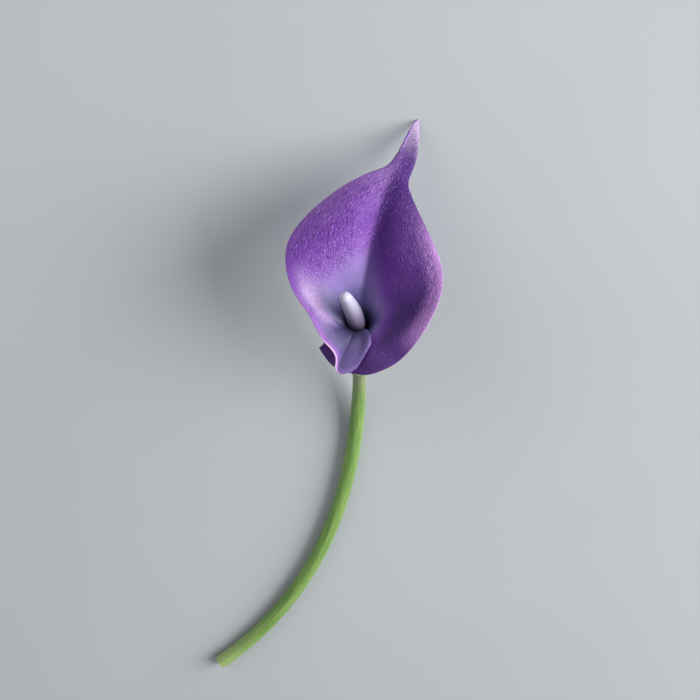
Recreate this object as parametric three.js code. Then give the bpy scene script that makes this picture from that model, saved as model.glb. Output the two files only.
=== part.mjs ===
// A cut calla lily, lying on its back: one rolled sheet with a tail (the spathe), the finger in its throat
// (the spadix) and the stalk. Millimetres, +Z up. The flower lies on the plane z = 0, where the tail's tip
// and the stalk touch it, and the origin is under the middle of its box.
import * as THREE from "three";

// ---- driving dimensions ----
const sheetThickness = 1.0;
const seatGap = 0.3; // between the sheet's foot and the stalk

// The bloom's own frame: z up the funnel's axis from the throat, y towards the tail, x to its right.
const tubeLength = 38; // throat to foot
const tubeRadiusFoot = 3.5;
const tubeRadiusThroat = 6.1;
const throatAside = [-1.2, -0.3, 0]; // the throat leans to the left of the foot
const tubeWaist = { height: 0.42, out: 1.3 }; // where the tube fills out, as a share of its length
const rollStepFoot = 2.0; // how much further out the outer margin lies than the inner one
const rollStepThroat = 2.5;

// The sheet's free edge, without the tail: the angle at which its rib leaves the throat, counted from the
// back, then x, y, z. It starts at the inner margin, which folds out as a tongue over the front, goes up the
// left side, over the back and down the right side, and ends at the outer margin, under the tongue.
const rimPoints = [
  [-238, 8.2, -10.6, 3.5],
  [-232, 7.4, -13.7, 1.7],
  [-226, 6.3, -17, -0.7],
  [-220, 5.1, -20.1, -2.6],
  [-212, 2.4, -22.9, -3.6],
  [-203, -0.8, -24.5, -3.6],
  [-196, -3, -23.8, -2.6],
  [-188, -3.5, -21.6, 0.2],
  [-178, -4.9, -19.9, 4],
  [-158, -10.8, -17.6, 8.2],
  [-136, -17.3, -12.6, 14],
  [-118, -23.2, -9, 18.2],
  [-100, -29, -4.2, 22.3],
  [-85, -32.9, 2.2, 26.2],
  [-70, -34.5, 9.7, 29.4],
  [-54, -32.1, 19.3, 32.5],
  [-38, -25.3, 31.1, 36.1],
  [-24, -16, 42.8, 38.5],
  [-12, -7.6, 50, 38.6],
  [0, -0.6, 52.5, 37],
  [9, 4.2, 49.2, 35.3],
  [18, 9, 43.4, 33.4],
  [32, 17.6, 34.2, 29.6],
  [49, 26.3, 24.4, 24.8],
  [65, 30.2, 16.6, 21.2],
  [84, 30.5, 6.5, 15.4],
  [107, 26.4, -6.2, 6.9],
  [130, 20.4, -14.8, 0.6],
  [148, 15.4, -18.3, -2.4],
  [166, 10.3, -20.1, -5.6],
  [190, 2.2, -20.4, -8],
  [211, -6.2, -19.3, -7.7],
  [228, -13, -15.5, -3.4],
];
// The same edge where the tail grows out of it, up its left side and down its right side.
const tailPoints = [
  [-24, -16, 42.8, 38.5],
  [-16, -10.2, 48.9, 38.7],
  [-10, -5.8, 53.8, 38.2],
  [-6, -3.2, 61, 38.6],
  [-3, -1.7, 70, 39.6],
  [-0.8, -0.8, 77.6, 39.8],
  [0.2, -0.1, 80, 39.6],
  [1.2, 0.9, 77.6, 39.4],
  [3, 3.5, 68.5, 38.3],
  [6, 4.8, 58.5, 36.3],
  [9, 4.6, 51.5, 35.3],
  [12, 5.7, 47.6, 34.8],
  [18, 9, 43.4, 33.4],
];
const tailHeading = [0.3, 1, 0.1];
const tailPull = 0.4; // share of its length over which the tail keeps the limb's heading

// Each rib bends differently in six zones round the throat: the back; the front; the left wall, which runs
// straight up from the throat; the lip, which turns up beside the tongue; the right wall, which rises
// straight too; and the ribs of the outer layer that pass under the tongue.
// The first angle is where it leaves the throat, from the funnel's axis, and the second where it comes to the
// edge, above level. The pulls are the shares of its reach that keep each angle.
const openingAngle = { all: 20, front: -8, leftWall: 32, rightWall: 26, under: 40 };
const riseAngle = { all: -12, back: 14, front: -20, leftWall: 40, lip: 58, rightWall: 34 };
const throatPull = { all: 0.36, back: -0.04, front: -0.06, under: -0.1 };
const edgePull = { all: 0.42, front: -0.02, lip: -0.22 };
// The length below the throat that keeps the opening angle.
const tubePull = { all: 5, leftWall: -3.4, rightWall: -1, under: -3.5 };
// The valley up the back, and the inner margin that is folded out to the right.
const keel = { depth: 5, middle: -6, width: 13, inThroat: [-0.2, 0.35, 0], inLimb: [-0.45, 0.35, -0.93] };
const tongue = { width: 40, inThroat: [0.7, -1.1, 1.3], inLimb: [1, 0.5, 2.4] };

// The finger: it stands on the stalk inside the tube and leans to the left where it comes out.
const spadixLine = [
  [0, 0, -tubeLength],
  [-0.3, 0, -18],
  [-1.6, -0.4, 0.6],
  [-5.1, -5.6, 27.2],
];
const spadixFootRadius = 1.5;
const spadixRadius = 3.85;
const spadixTipRadius = 2.3;
const spadixSwell = 42; // from its foot to its widest place

// How the bloom lies: pitched back about the world's x, then turned about its own axis, its tail towards +X.
const backPitch = 57;
const bloomTurn = 18.1;
const bloomSeat = [20.68, 71.18, 42.35]; // middle of the throat, with the tail's tip on the surface

const stemRadius = 3.6;
const stemNeckRadius = 3.0;
const stemSeatRadius = 4.2; // widened to carry the sheet
const stemSeatLength = 10;
const stemLength = 208;
const stemSweep = 52; // degrees that the stalk turns to the left on its way to the cut end

// ---- how finely the solids are divided ----
const sheetColumns = 76;
const tubeRows = 6;
const limbRows = 22;
const ribSamples = 40; // in each of a rib's three stretches
const spadixSides = 20;
const spadixRows = 18;
const spadixTipTurns = [20, 40, 60, 75, 86]; // degrees round the tip's dome
const stemSides = 12;
const stemRows = 28;
const stemSeatSpots = [0, 1, 2.4, 4, 6, 8, stemSeatLength];

const radians = THREE.MathUtils.degToRad;
const { clamp, smoothstep } = THREE.MathUtils;
const vector = (p) => new THREE.Vector3(...p);

// ---- curves ----
// A cubic spline through stations [u, a, b, c]; its ends are free, or keep the two slopes given.
function splineThrough(stations, firstSlope, lastSlope) {
  const count = stations.length;
  const step = (i) => stations[i + 1][0] - stations[i][0];
  const climb = (i, axis) => (stations[i + 1][axis] - stations[i][axis]) / step(i);
  const slopes = [1, 2, 3].map((axis) => {
    // Each row of the tridiagonal system is [before, at, after, right-hand side].
    const rows = stations.map((_, i) => {
      if (i === 0) {
        return firstSlope ? [0, 1, 0, firstSlope[axis - 1]] : [0, 2, 1, 3 * climb(0, axis)];
      }
      if (i === count - 1) {
        return lastSlope ? [0, 1, 0, lastSlope[axis - 1]] : [1, 2, 0, 3 * climb(count - 2, axis)];
      }
      const before = step(i - 1);
      const after = step(i);
      const right = 3 * (after * climb(i - 1, axis) + before * climb(i, axis));
      return [after, 2 * (before + after), before, right];
    });
    for (let i = 1; i < count; i++) {
      const factor = rows[i][0] / rows[i - 1][1];
      rows[i][1] -= factor * rows[i - 1][2];
      rows[i][3] -= factor * rows[i - 1][3];
    }
    const solved = new Array(count);
    for (let i = count - 1; i >= 0; i--) {
      const known = i < count - 1 ? rows[i][2] * solved[i + 1] : 0;
      solved[i] = (rows[i][3] - known) / rows[i][1];
    }
    return solved;
  });
  // Hermite weights of the two stations and of their slopes, for the point or for its slope.
  const weigh = (u, weights) => {
    let i = 0;
    while (i < count - 2 && u > stations[i + 1][0]) i++;
    const width = step(i);
    const [from, fromSlope, to, toSlope] = weights((u - stations[i][0]) / width, width);
    return [1, 2, 3].map(
      (axis) =>
        from * stations[i][axis] +
        fromSlope * slopes[axis - 1][i] * width +
        to * stations[i + 1][axis] +
        toSlope * slopes[axis - 1][i + 1] * width,
    );
  };
  const pointWeights = (t) => {
    const blend = t * t * (3 - 2 * t);
    return [1 - blend, t * (1 - t) ** 2, blend, t * t * (t - 1)];
  };
  const slopeWeights = (t, width) => {
    const blend = (6 * t * (1 - t)) / width;
    return [-blend, ((1 - t) * (1 - 3 * t)) / width, blend, (t * (3 * t - 2)) / width];
  };
  return {
    at: (u) => vector(weigh(u, pointWeights)),
    slope: (u) => weigh(u, slopeWeights),
  };
}

// ---- the sheet ----
const firstRib = rimPoints[0][0];
const lastRib = rimPoints.at(-1)[0];
const tailFrom = tailPoints[0][0];
const tailTo = tailPoints.at(-1)[0];
const rim = splineThrough(rimPoints);
const tailEdge = splineThrough(tailPoints, rim.slope(tailFrom), rim.slope(tailTo));
const funnelAxis = new THREE.Vector3(0, 0, 1);

const bump = (u, middle, width) => Math.exp(-(((u - middle) / width) ** 2));

function outward(angle) {
  return new THREE.Vector3(Math.sin(radians(angle)), Math.cos(radians(angle)), 0);
}

// The four control points of each of a rib's three stretches: up the tube, out over the limb, along the tail.
function ribStretches(u) {
  const zones = {
    all: 1,
    back: bump(u, 0, 28),
    front: smoothstep(Math.abs(u), 95, 190),
    leftWall: bump(u, -132, 48),
    lip: bump(u, -180, 16),
    rightWall: bump(u, 80, 36),
    under: smoothstep(u, 90, 140),
  };
  const blend = (terms) => Object.entries(terms).reduce((sum, [zone, value]) => sum + value * zones[zone], 0);
  const away = outward(u);
  const roll = (u - firstRib) / (lastRib - firstRib) - 0.5;
  const valley = keel.depth * bump(u, keel.middle, keel.width);
  const swing = Math.max(0, (firstRib + tongue.width - u) / tongue.width) ** 1.5;

  const throat = away.clone().multiplyScalar(tubeRadiusThroat + rollStepThroat * roll);
  throat.add(vector(throatAside));
  const edge = rim.at(u);
  const reach = edge.distanceTo(throat);
  const opening = radians(blend(openingAngle));
  const leaving = away.clone().multiplyScalar(Math.sin(opening));
  leaving.addScaledVector(funnelAxis, Math.cos(opening));
  const rise = radians(blend(riseAngle));
  const flare = new THREE.Vector3(edge.x, edge.y, 0).normalize().multiplyScalar(Math.cos(rise));
  flare.addScaledVector(funnelAxis, Math.sin(rise));

  const foot = away.clone().multiplyScalar(tubeRadiusFoot + rollStepFoot * roll);
  foot.addScaledVector(funnelAxis, -tubeLength);
  const overFoot = foot.clone().addScaledVector(funnelAxis, tubeLength * tubeWaist.height);
  overFoot.addScaledVector(away, tubeWaist.out);
  const underThroat = throat.clone().addScaledVector(leaving, -blend(tubePull));

  const overThroat = throat.clone().addScaledVector(leaving, reach * blend(throatPull));
  overThroat.addScaledVector(vector(keel.inThroat), valley);
  overThroat.addScaledVector(vector(tongue.inThroat), swing);
  const shoulder = edge.clone().addScaledVector(flare, -reach * blend(edgePull));
  shoulder.addScaledVector(vector(keel.inLimb), valley);
  shoulder.addScaledVector(vector(tongue.inLimb), swing);

  const inTail = u > tailFrom && u < tailTo;
  const tip = inTail ? tailEdge.at(u) : edge.clone();
  const tailReach = tip.distanceTo(edge) * tailPull;
  const onwards = edge.clone().sub(shoulder).normalize();
  const tailStart = edge.clone().addScaledVector(onwards, tailReach);
  const tailEnd = tip.clone().addScaledVector(vector(tailHeading).normalize(), -tailReach);
  return [
    [foot, overFoot, underThroat, throat],
    [throat, overThroat, shoulder, edge],
    [edge, tailStart, tailEnd, tip],
  ];
}

// Points spread evenly along a line of many short steps.
function spreadEvenly(line, rows) {
  const along = [0];
  for (let i = 1; i < line.length; i++) along.push(along[i - 1] + line[i].distanceTo(line[i - 1]));
  const points = [];
  let i = 1;
  for (let row = 0; row <= rows; row++) {
    const target = (along.at(-1) * row) / rows;
    while (i < line.length - 1 && along[i] < target) i++;
    const share = (target - along[i - 1]) / (along[i] - along[i - 1] || 1);
    points.push(line[i - 1].clone().lerp(line[i], clamp(share, 0, 1)));
  }
  return points;
}

// One rib: the tube's rows up to the throat, then the limb's and the tail's rows out to the edge.
function ribPoints(u) {
  const curves = ribStretches(u).map((p) => new THREE.CubicBezierCurve3(...p));
  const [tube, limb, tail] = curves.map((curve) => curve.getPoints(ribSamples));
  const outwards = [...limb, ...tail.slice(1)];
  return [...spreadEvenly(tube, tubeRows), ...spreadEvenly(outwards, limbRows).slice(1)];
}

// The ribs' angles, closer together at the tail and at the two margins.
function ribAngles(count) {
  const fine = 4000;
  const crowding = (u) =>
    1 + 7 * bump(u, 0, 7) + 1.2 * bump(u, firstRib, 12) + 0.5 * bump(u, lastRib, 12);
  const at = (i) => firstRib + ((lastRib - firstRib) * i) / fine;
  const sums = [0];
  for (let i = 1; i <= fine; i++) sums.push(sums[i - 1] + crowding(at(i - 0.5)));
  const angles = [];
  let i = 0;
  for (let column = 0; column <= count; column++) {
    const target = (sums[fine] * column) / count;
    while (i < fine && sums[i] < target) i++;
    angles.push(at(i));
  }
  return angles;
}

function solid(points, faces) {
  const positions = points.flatMap((p) => p.toArray());
  return new THREE.BufferGeometry()
    .setAttribute("position", new THREE.Float32BufferAttribute(positions, 3))
    .setIndex(faces);
}

// The sheet's mid surface moved half its thickness to each side, and closed along its four edges.
function spatheGeometry() {
  const angles = ribAngles(sheetColumns);
  const nudge = 0.05; // degrees to each side, to find the way across a rib
  const rows = tubeRows + limbRows + 1;
  const outer = [];
  const inner = [];
  for (const u of angles) {
    const points = ribPoints(u);
    const before = ribPoints(Math.max(u - nudge, firstRib));
    const after = ribPoints(Math.min(u + nudge, lastRib));
    for (let j = 0; j < rows; j++) {
      const across = after[j].clone().sub(before[j]);
      const along = points[Math.min(j + 1, rows - 1)].clone().sub(points[Math.max(j - 1, 0)]);
      const normal = along.cross(across).normalize().multiplyScalar(sheetThickness / 2);
      outer.push(points[j].clone().add(normal));
      inner.push(points[j].clone().sub(normal));
    }
  }
  const half = outer.length;
  const at = (i, j) => i * rows + j;
  const faces = [];
  const quad = (a, b, c, d) => faces.push(a, b, c, a, c, d);
  const lastColumn = angles.length - 1;
  const lastRow = rows - 1;
  for (let i = 0; i < lastColumn; i++) {
    for (let j = 0; j < lastRow; j++) {
      const [a, b, c, d] = [at(i, j), at(i + 1, j), at(i + 1, j + 1), at(i, j + 1)];
      faces.push(a, c, b, a, d, c);
      quad(half + a, half + b, half + c, half + d);
    }
  }
  const closeAlong = (a, b) => quad(a, b, half + b, half + a);
  for (let i = 0; i < lastColumn; i++) {
    closeAlong(at(i, 0), at(i + 1, 0));
    closeAlong(at(i + 1, lastRow), at(i, lastRow));
  }
  for (let j = 0; j < lastRow; j++) {
    closeAlong(at(0, j + 1), at(0, j));
    closeAlong(at(lastColumn, j), at(lastColumn, j + 1));
  }
  return solid([...outer, ...inner], faces);
}

// ---- round pieces ----
// A closed solid of round sections: each ring has a centre, a heading, a radius and the way up in its section.
function loftGeometry(rings, sides) {
  const points = [];
  for (const { centre, heading, radius, up } of rings) {
    const side = heading.clone().cross(up).normalize();
    const upright = side.clone().cross(heading).normalize();
    for (let k = 0; k < sides; k++) {
      const angle = (2 * Math.PI * (k + 0.5)) / sides - Math.PI / 2;
      const point = centre.clone().addScaledVector(side, radius * Math.cos(angle));
      points.push(point.addScaledVector(upright, radius * Math.sin(angle)));
    }
  }
  const start = points.length;
  points.push(rings[0].centre, rings.at(-1).centre);
  const faces = [];
  for (let k = 0; k < sides; k++) {
    const next = (k + 1) % sides;
    for (let i = 0; i < rings.length - 1; i++) {
      const [a, b] = [i * sides + k, i * sides + next];
      faces.push(a, b + sides, b, a, a + sides, b + sides);
    }
    faces.push(start, k, next);
    faces.push(start + 1, start - sides + next, start - sides + k);
  }
  return solid(points, faces);
}

function spadixGeometry() {
  const up = new THREE.Vector3(0, 1, 0);
  let chord = 0;
  const stations = spadixLine.map((p, i) => {
    if (i > 0) chord += vector(p).distanceTo(vector(spadixLine[i - 1]));
    return [chord, ...p];
  });
  const line = splineThrough(stations);
  const length = chord;
  const domeStart = length - spadixTipRadius;
  const ringAt = (s) => {
    const wide = smoothstep(s, 0, spadixSwell);
    const thin = clamp((s - spadixSwell) / (length - spadixSwell), 0, 1) ** 1.8;
    let radius = spadixFootRadius + (spadixRadius - spadixFootRadius) * wide;
    radius += (spadixTipRadius - spadixRadius) * thin;
    radius *= Math.sqrt(1 - Math.max(0, (s - domeStart) / spadixTipRadius) ** 2);
    return { centre: line.at(s), heading: vector(line.slope(s)).normalize(), radius, up };
  };
  const rings = [];
  for (let i = 0; i <= spadixRows; i++) rings.push(ringAt((domeStart * i) / spadixRows));
  for (const turn of spadixTipTurns) rings.push(ringAt(domeStart + spadixTipRadius * Math.sin(radians(turn))));
  return loftGeometry(rings, spadixSides);
}

// The stalk, in the frame that it lies in: straight out of the seat, down to the surface, and along it in a
// wide turn to the left. Its sections have a flat underside, so it rests on its facets.
function stemGeometry(top) {
  const up = new THREE.Vector3(0, 0, 1);
  const pitchAtTop = radians(90 - backPitch);
  const restHeight = stemRadius * Math.cos(Math.PI / stemSides);
  const drop = top.z - restHeight - stemSeatLength * Math.sin(pitchAtTop);
  const levelling = (drop * pitchAtTop) / (1 - Math.cos(pitchAtTop)); // length over which it comes level
  const headingAt = (s) => {
    const pitch = pitchAtTop * (1 - clamp((s - stemSeatLength) / levelling, 0, 1));
    const along = Math.max(0, (s - stemSeatLength) / (stemLength - stemSeatLength));
    const yaw = radians(stemSweep) * along ** 1.3;
    const level = Math.cos(pitch);
    return new THREE.Vector3(-Math.sin(yaw) * level, -Math.cos(yaw) * level, -Math.sin(pitch));
  };
  const radiusAt = (s) => {
    const seat = Math.max(0, 1 - s / stemSeatLength) ** 2;
    const full = smoothstep(s, 0, stemSeatLength + levelling);
    return stemNeckRadius + (stemSeatRadius - stemNeckRadius) * seat + (stemRadius - stemNeckRadius) * full;
  };
  const spots = [...stemSeatSpots];
  for (let i = 1; i <= stemRows; i++) {
    spots.push(stemSeatLength + ((stemLength - stemSeatLength) * i) / stemRows);
  }
  const stride = 0.1;
  const centre = top.clone();
  let s = 0;
  const rings = spots.map((spot) => {
    while (s < spot - stride / 2) {
      centre.addScaledVector(headingAt(s + stride / 2), stride);
      s += stride;
    }
    return { centre: centre.clone(), heading: headingAt(s), radius: radiusAt(s), up };
  });
  return loftGeometry(rings, stemSides);
}

// ---- assembly ----
function mesh(name, geometry, color, roughness) {
  const piece = new THREE.Mesh(geometry, new THREE.MeshStandardMaterial({ color, roughness, metalness: 0 }));
  piece.name = name;
  return piece;
}

const bloom = new THREE.Group();
bloom.add(mesh("spathe", spatheGeometry(), 0x4b2a8a, 0.55));
bloom.add(mesh("spadix", spadixGeometry(), 0xd9d6e2, 0.6));
bloom.position.set(...bloomSeat);
bloom.rotation.set(radians(-backPitch), 0, radians(-bloomTurn));
bloom.updateMatrixWorld(true);

const flower = new THREE.Group();
flower.add(bloom);
const stemTop = new THREE.Vector3(0, 0, -tubeLength - seatGap).applyMatrix4(bloom.matrixWorld);
flower.add(mesh("stem", stemGeometry(stemTop), 0x6f8f4e, 0.6));

export default flower;
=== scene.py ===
import math

import bmesh
import bpy
import numpy as np
from mathutils import Matrix, Vector, noise


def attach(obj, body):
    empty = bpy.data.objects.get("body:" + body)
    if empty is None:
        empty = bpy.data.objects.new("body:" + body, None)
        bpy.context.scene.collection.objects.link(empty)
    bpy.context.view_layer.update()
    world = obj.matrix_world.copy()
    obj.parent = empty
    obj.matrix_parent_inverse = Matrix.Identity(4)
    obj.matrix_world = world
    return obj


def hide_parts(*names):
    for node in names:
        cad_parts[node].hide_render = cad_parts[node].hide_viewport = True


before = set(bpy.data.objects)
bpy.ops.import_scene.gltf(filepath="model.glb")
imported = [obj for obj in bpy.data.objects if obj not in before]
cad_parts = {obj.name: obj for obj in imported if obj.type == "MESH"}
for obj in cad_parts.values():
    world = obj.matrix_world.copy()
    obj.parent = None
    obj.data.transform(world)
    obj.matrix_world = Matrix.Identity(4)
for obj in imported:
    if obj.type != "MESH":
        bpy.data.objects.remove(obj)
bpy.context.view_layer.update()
print("frame loaded:", sorted(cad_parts))

mm = 0.001


def srgb(red, green, blue):
    # a colour read as 0-255 values, made linear
    steps = [c / 255 for c in (red, green, blue)]
    return tuple(c / 12.92 if c <= 0.04045 else ((c + 0.055) / 1.055) ** 2.4 for c in steps) + (1.0,)


# how the bloom lies, in millimetres and degrees
bloomPlace = {
    "seat": (20.68, 71.18, 42.35),  # middle of the throat
    "backPitch": 57.0,
    "turn": 18.1,
}
bloomMatrix = (
    Matrix.Translation(bloomPlace["seat"])
    @ Matrix.Rotation(math.radians(-bloomPlace["backPitch"]), 4, "X")
    @ Matrix.Rotation(math.radians(-bloomPlace["turn"]), 4, "Z")
)


def bump(x, middle, width):
    return np.exp(-(((x - middle) / width) ** 2))


def smooth(x, low, high):
    t = np.clip((x - low) / (high - low), 0, 1)
    return t * t * (3 - 2 * t)


def splineThrough(stations, endSlopes=None):
    # cubic spline through rows of [u, x, y, z]; returns a function of many u that gives points or slopes
    table = np.array(stations, float)
    u, points = table[:, 0], table[:, 1:]
    width = np.diff(u)
    climb = np.diff(points, axis=0) / width[:, None]
    system = np.zeros((len(u), len(u)))
    right = np.zeros_like(points)
    for i in range(1, len(u) - 1):
        system[i, i - 1:i + 2] = width[i], 2 * (width[i - 1] + width[i]), width[i - 1]
        right[i] = 3 * (width[i] * climb[i - 1] + width[i - 1] * climb[i])
    if endSlopes is None:
        system[0, :2], system[-1, -2:] = (2, 1), (1, 2)
        right[0], right[-1] = 3 * climb[0], 3 * climb[-1]
    else:
        system[0, 0] = system[-1, -1] = 1
        right[0], right[-1] = endSlopes
    slopes = np.linalg.solve(system, right)

    def at(where, slope=False):
        where = np.atleast_1d(where).astype(float)
        i = np.clip(np.searchsorted(u, where) - 1, 0, len(u) - 2)
        w = width[i][:, None]
        t = ((where - u[i]) / width[i])[:, None]
        if slope:
            rise = 6 * t * (1 - t) / w
            return (rise * (points[i + 1] - points[i]) + (1 - t) * (1 - 3 * t) * slopes[i]
                    + t * (3 * t - 2) * slopes[i + 1])
        rise = t * t * (3 - 2 * t)
        return ((1 - rise) * points[i] + rise * points[i + 1]
                + t * (1 - t) ** 2 * w * slopes[i] + t * t * (t - 1) * w * slopes[i + 1])

    return at


# the spathe's sheet: a fine skin on the same ribs as the solid; millimetres, and degrees round the bloom
spathe = {
    "tubeLength": 38.0, "footRadius": 3.5, "throatRadius": 6.1, "throatAside": (-1.2, -0.3, 0),
    "footRoll": 2.0, "throatRoll": 2.5, "waistHeight": 0.42, "waistOut": 1.3,
    # the sides that the ribs are bent by: middle and width, or from and to
    "sides": {"back": (0, 28), "leftWall": (-132, 48), "lip": (-180, 16), "rightWall": (80, 36)},
    "frontFrom": (95, 190), "underFrom": (90, 140),
    "opening": {"all": 20, "front": -8, "leftWall": 32, "rightWall": 26, "under": 40},
    "rise": {"all": -12, "back": 14, "front": -20, "leftWall": 40, "lip": 58, "rightWall": 34},
    "throatPull": {"all": 0.36, "back": -0.04, "front": -0.06, "under": -0.1},
    "edgePull": {"all": 0.42, "front": -0.02, "lip": -0.22},
    "tubePull": {"all": 5, "leftWall": -3.4, "rightWall": -1, "under": -3.5},
    "keelDepth": 5.0, "keelMiddle": -6.0, "keelWidth": 13.0,
    "keelThroat": (-0.2, 0.35, 0), "keelLimb": (-0.45, 0.35, -0.93),
    "tongueWidth": 40.0, "tongueEase": 1.5,
    "tongueThroat": (0.7, -1.1, 1.3), "tongueLimb": (1, 0.5, 2.4),
    "tailHeading": (0.3, 1, 0.1), "tailPull": 0.4, "tailLength": 28.0,
    "thickness": 0.92, "edgeThickness": 0.56, "thinning": 9.0, "edgeRound": 0.3,
    # the mesh: how many ribs and rows, how much and how widely the ribs crowd at the tail and the two
    # margins, and where the last ribs and rows stand
    "columns": 318, "tubeRows": 24, "limbRows": 124, "ribSteps": 90,
    "crowding": ((6, 7), (1.2, 14), (0.8, 14)),
    "edgeGaps": (0.55, 0.32, 0.16, 0.05, 0.0), "edgeLead": 1.9, "marginTurns": (0, 0.07, 0.22, 0.5, 0.95),
    # height and size of the unevenness, how it is turned and drawn out, and where it sets in
    "swells": (0.2, 6.0), "wrinkles": (0.26, 1.5), "wrinkleWander": (0.9, 3.0),
    "wrinkleTurn": 20.0, "wrinkleStretch": 0.5, "wrinkleDepth": 0.75, "foldSteepness": 1.6,
    "seeds": {"swells": 3.1, "wander": 5.3, "wrinkles": 7.7}, "noiseLayers": (0.9, 2.1, 3),
    "limbFrom": (0.3, 0.62), "edgeFade": (0.5, 4), "leftFade": (-112, -60),
    # the smoother right wall and underside: how much, from which rib, from how far in
    "calmRight": 0.45, "calmRightFrom": (-8, 12), "calmInward": (6, 14),
    "calmUnder": 0.6, "calmUnderFrom": (66, 110),
    # how much further out the colours run: on the left, the tongue and by the back, and less on the right;
    # further on the lit left and less far on the shaded right paints light and shade
    "stretch": ((1.1, -118, 46), (1.9, 140, 196), (0.15, -30, 34), (0.4, 0, 50)),
    "planSize": (100, 40),  # degrees and millimetres that make one unit of the sheet's UV map
    # the pale line on the free edge, its least width and share and what the curl adds, and the curl itself,
    # whose band takes a painted highlight on the inside
    "lipFrom": (-208, -194), "lipUntil": (142, 174), "lipWidth": (0.34, 0.5), "lipShare": (0.22, 0.68),
    "lipStart": (-216, -202), "lipEnd": (150, 185), "lipFade": (-1, -0.45),
    "curlFrom": (-204, -188), "curlUntil": (100, 150), "curlWidth": (-3.2, -1.0),
}
rimPoints = [  # rib angle, then x, y, z of the free edge without the tail
    (-238, 8.2, -10.6, 3.5), (-232, 7.4, -13.7, 1.7), (-226, 6.3, -17, -0.7),
    (-220, 5.1, -20.1, -2.6), (-212, 2.4, -22.9, -3.6),
    (-203, -0.8, -24.5, -3.6), (-196, -3, -23.8, -2.6), (-188, -3.5, -21.6, 0.2), (-178, -4.9, -19.9, 4),
    (-158, -10.8, -17.6, 8.2), (-136, -17.3, -12.6, 14),
    (-118, -23.2, -9, 18.2), (-100, -29, -4.2, 22.3), (-85, -32.9, 2.2, 26.2), (-70, -34.5, 9.7, 29.4),
    (-54, -32.1, 19.3, 32.5), (-38, -25.3, 31.1, 36.1), (-24, -16, 42.8, 38.5), (-12, -7.6, 50, 38.6),
    (0, -0.6, 52.5, 37), (9, 4.2, 49.2, 35.3), (18, 9, 43.4, 33.4), (32, 17.6, 34.2, 29.6),
    (49, 26.3, 24.4, 24.8), (65, 30.2, 16.6, 21.2), (84, 30.5, 6.5, 15.4), (107, 26.4, -6.2, 6.9),
    (130, 20.4, -14.8, 0.6), (148, 15.4, -18.3, -2.4), (166, 10.3, -20.1, -5.6), (190, 2.2, -20.4, -8),
    (211, -6.2, -19.3, -7.7), (228, -13, -15.5, -3.4),
]
tailPoints = [  # the same edge where the tail grows out of it
    (-24, -16, 42.8, 38.5), (-16, -10.2, 48.9, 38.7), (-10, -5.8, 53.8, 38.2), (-6, -3.2, 61, 38.6),
    (-3, -1.7, 70, 39.6), (-0.8, -0.8, 77.6, 39.8), (0.2, -0.1, 80, 39.6), (1.2, 0.9, 77.6, 39.4),
    (3, 3.5, 68.5, 38.3), (6, 4.8, 58.5, 36.3), (9, 4.6, 51.5, 35.3), (12, 5.7, 47.6, 34.8),
    (18, 9, 43.4, 33.4),
]
firstRib, lastRib = rimPoints[0][0], rimPoints[-1][0]
tailFrom, tailTo = tailPoints[0][0], tailPoints[-1][0]
rimEdge = splineThrough(rimPoints)
tailEdge = splineThrough(tailPoints, (rimEdge(tailFrom, True)[0], rimEdge(tailTo, True)[0]))


def unit(vectors):
    return vectors / np.maximum(np.linalg.norm(vectors, axis=-1, keepdims=True), 1e-12)


def ribControls(u):
    # four control points for each stretch of every rib: up the tube, out over the limb, along the tail
    zones = {side: bump(u, *place) for side, place in spathe["sides"].items()}
    zones["all"] = np.ones_like(u)
    zones["front"] = smooth(np.abs(u), *spathe["frontFrom"])
    zones["under"] = smooth(u, *spathe["underFrom"])

    def blend(terms):
        return sum(value * zones[zone] for zone, value in terms.items())[:, None]

    turn = np.radians(u)
    away = np.stack([np.sin(turn), np.cos(turn), 0 * u], 1)
    up = np.array([0.0, 0.0, 1.0])
    roll = ((u - firstRib) / (lastRib - firstRib) - 0.5)[:, None]
    valley = (spathe["keelDepth"] * bump(u, spathe["keelMiddle"], spathe["keelWidth"]))[:, None]
    fromTongue = np.maximum(0, (firstRib + spathe["tongueWidth"] - u) / spathe["tongueWidth"])
    swing = (fromTongue ** spathe["tongueEase"])[:, None]

    throat = away * (spathe["throatRadius"] + spathe["throatRoll"] * roll) + np.array(spathe["throatAside"])
    edge = rimEdge(u)
    reach = np.linalg.norm(edge - throat, axis=1)[:, None]
    opening = np.radians(blend(spathe["opening"]))
    leaving = up * np.cos(opening) + away * np.sin(opening)
    rise = np.radians(blend(spathe["rise"]))
    flare = unit(edge * (1, 1, 0)) * np.cos(rise) + up * np.sin(rise)

    foot = away * (spathe["footRadius"] + spathe["footRoll"] * roll) - up * spathe["tubeLength"]
    overFoot = foot + up * spathe["tubeLength"] * spathe["waistHeight"] + away * spathe["waistOut"]
    underThroat = throat - leaving * blend(spathe["tubePull"])
    overThroat = (throat + leaving * reach * blend(spathe["throatPull"])
                  + np.array(spathe["keelThroat"]) * valley + np.array(spathe["tongueThroat"]) * swing)
    shoulder = (edge - flare * reach * blend(spathe["edgePull"])
                + np.array(spathe["keelLimb"]) * valley + np.array(spathe["tongueLimb"]) * swing)
    inTail = ((u > tailFrom) & (u < tailTo))[:, None]
    tip = np.where(inTail, tailEdge(u), edge)
    pull = np.linalg.norm(tip - edge, axis=1)[:, None] * spathe["tailPull"]
    tailStart = edge + unit(edge - shoulder) * pull
    tailEnd = tip - unit(np.array(spathe["tailHeading"], float)) * pull
    return ((foot, overFoot, underThroat, throat), (throat, overThroat, shoulder, edge),
            (edge, tailStart, tailEnd, tip))


def drawCurves(controls, samples):
    t = np.linspace(0, 1, samples)[:, None, None]
    a, b, c, d = controls
    return (1 - t) ** 3 * a + 3 * t * (1 - t) ** 2 * b + 3 * t * t * (1 - t) * c + t ** 3 * d


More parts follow.
